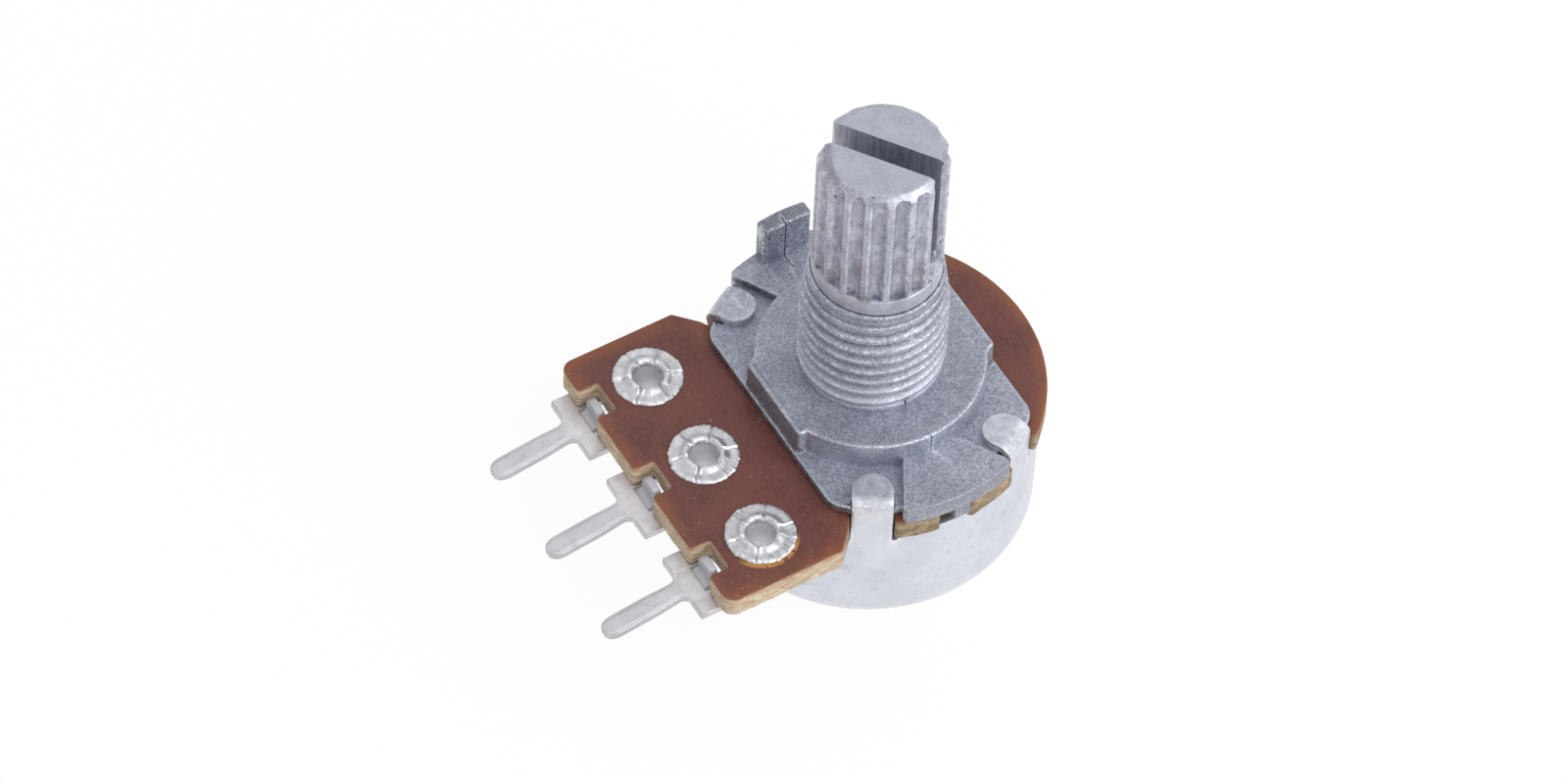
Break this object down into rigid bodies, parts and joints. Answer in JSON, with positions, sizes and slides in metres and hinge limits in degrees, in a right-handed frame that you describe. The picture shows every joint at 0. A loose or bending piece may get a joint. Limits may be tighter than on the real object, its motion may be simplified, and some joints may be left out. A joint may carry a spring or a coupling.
{
  "type": "rotary potentiometer",
  "caption": "Rotary potentiometer with a fluted split shaft, a threaded panel neck, a brown terminal board with hollow rivets and pins, and a tabbed sheet-metal cover.",
  "frame": {"origin": "on the shaft axis at the panel seat, which is the top of the round boss", "axes": "+Z along the shaft toward its tip, -Y toward the three terminal pins, -X toward the anti-turn lug"},
  "size_m": [0.0166, 0.0252, 0.0246],
  "materials": {
    "zinc_casting": "matte sandy die casting with worn edges",
    "zinc_shaft": "turned and pressed metal, satin with scuffs",
    "phenolic_board": "red-brown laminate with tan fibrous edges",
    "carbon_ink": "matte printed resistive film",
    "silver_ink": "matte printed silver film",
    "tinned_terminal": "satin tin plate",
    "tinned_rivet": "bright tin plate, burst and spread",
    "rotor_plastic": "moulded, satin",
    "bronze_spring": "bare spring bronze",
    "tinned_cover": "satin tin plate with scuffs"
  },
  "bodies": {
    "housing": {"bushing": "zinc_casting", "board": "phenolic_board", "carbon_track": "carbon_ink", "collector_ring": "silver_ink", "end_pad_left": "silver_ink", "end_pad_right": "silver_ink", "terminal_left": "tinned_terminal", "terminal_middle": "tinned_terminal", "terminal_right": "tinned_terminal", "rivet_left": "tinned_rivet", "rivet_middle": "tinned_rivet", "rivet_right": "tinned_rivet", "cover": "tinned_cover"},
    "spindle": {"shaft": "zinc_shaft", "rotor": "rotor_plastic", "wiper": "bronze_spring"}
  },
  "joints": [
    {"name": "shaft_turn", "type": "hinge", "parent": "housing", "child": "spindle", "pos_m": [0, 0, 0], "axis": [0, 0, 1], "range_deg": [-96, 204]}
  ]
}
